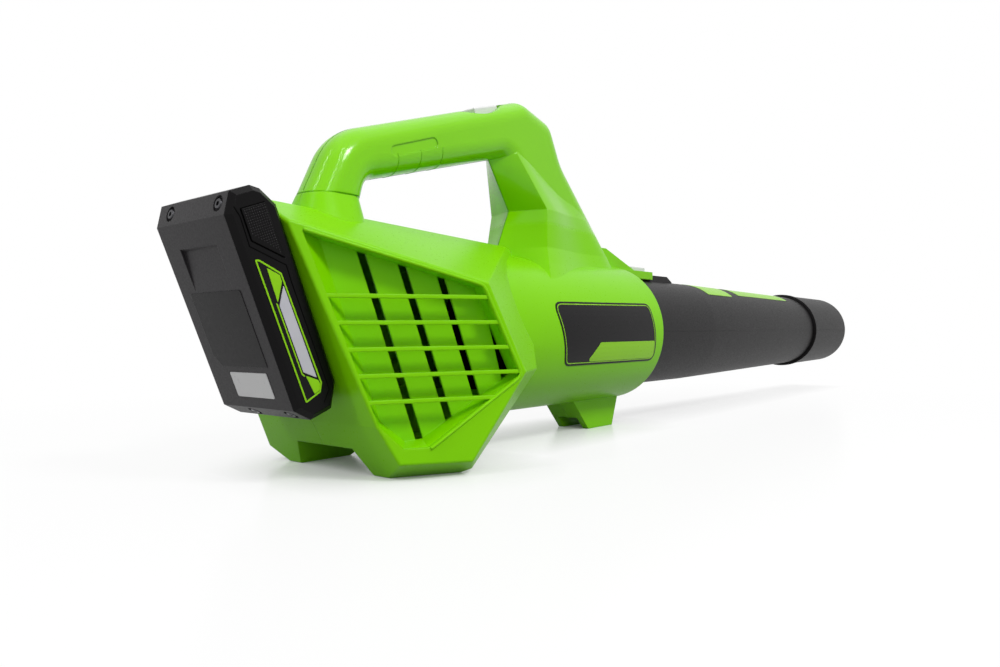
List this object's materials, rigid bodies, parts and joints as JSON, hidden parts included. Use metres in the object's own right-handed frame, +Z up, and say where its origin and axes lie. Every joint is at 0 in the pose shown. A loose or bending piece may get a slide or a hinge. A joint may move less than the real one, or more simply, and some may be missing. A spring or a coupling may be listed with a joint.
{
  "type": "leaf blower",
  "caption": "Cordless axial leaf blower with a splayed vented hood, loop handle, straight round tube with a nozzle, and a slanted slide-in battery pack.",
  "frame": {"origin": "middle of the footprint, on the surface that the feet stand on", "axes": "+X forward along the tube, +Y to the left, +Z up"},
  "size_m": [0.9606, 0.1924, 0.2613],
  "materials": {
    "housing_green": "satin moulded",
    "tube_black": "satin moulded",
    "button_grey": "satin moulded",
    "pack_black": "matte moulded",
    "pack_charcoal": "fine matte grain",
    "inner_black": "matte moulded",
    "board_green": "coated board",
    "steel": "plain",
    "contact_brass": "plain",
    "cell_wrap": "shrink wrapped"
  },
  "bodies": {
    "housing": {"right_shell": "housing_green", "left_shell": "housing_green", "right_louvre": "housing_green", "left_louvre": "housing_green", "switch_module": "inner_black", "release_spring": "steel", "fan_sleeve": "inner_black", "motor": "steel", "tail_cone": "inner_black", "controller_board": "board_green", "terminal_block": "inner_black", "housing_screws": "steel"},
    "switch": {"power_switch": "button_grey"},
    "release": {"release_button": "button_grey"},
    "rotor": {"rotor_shaft": "steel", "impeller": "inner_black"},
    "tube": {"blower_tube": "tube_black"},
    "nozzle_body": {"nozzle": "tube_black"},
    "pack": {"pack_cover": "pack_charcoal", "pack_shell": "pack_black", "cells": "cell_wrap", "pack_board": "board_green", "pack_contacts": "contact_brass"},
    "pack_catch_right": {"pack_button_right": "pack_black"},
    "pack_catch_left": {"pack_button_left": "pack_black"}
  },
  "joints": [
    {"name": "switch_slide", "type": "slide", "parent": "housing", "child": "switch", "axis": [0.9578, 0, 0.2874], "range_m": [0, 0.007]},
    {"name": "release_press", "type": "slide", "parent": "housing", "child": "release", "axis": [0, 0, -1], "range_m": [0, 0.0016], "stiffness_N_per_m": 400, "deforming": ["release_spring"]},
    {"name": "rotor_spin", "type": "hinge", "parent": "housing", "child": "rotor", "pos_m": [0, 0, 0.0822], "axis": [1, 0, 0], "continuous": true},
    {"name": "tube_slide", "type": "slide", "parent": "housing", "child": "tube", "axis": [1, 0, 0], "range_m": [0, 0.06]},
    {"name": "nozzle_slide", "type": "slide", "parent": "tube", "child": "nozzle_body", "axis": [1, 0, 0], "range_m": [0, 0.035]},
    {"name": "pack_slide", "type": "slide", "parent": "housing", "child": "pack", "axis": [-0.3616, 0, 0.9323], "range_m": [0, 0.11]},
    {"name": "pack_catch_right_press", "type": "slide", "parent": "pack", "child": "pack_catch_right", "axis": [0, 1, 0], "range_m": [0, 0.0018], "stiffness_N_per_m": 400},
    {"name": "pack_catch_left_press", "type": "slide", "parent": "pack", "child": "pack_catch_left", "axis": [0, -1, 0], "range_m": [0, 0.0018], "stiffness_N_per_m": 400}
  ]
}
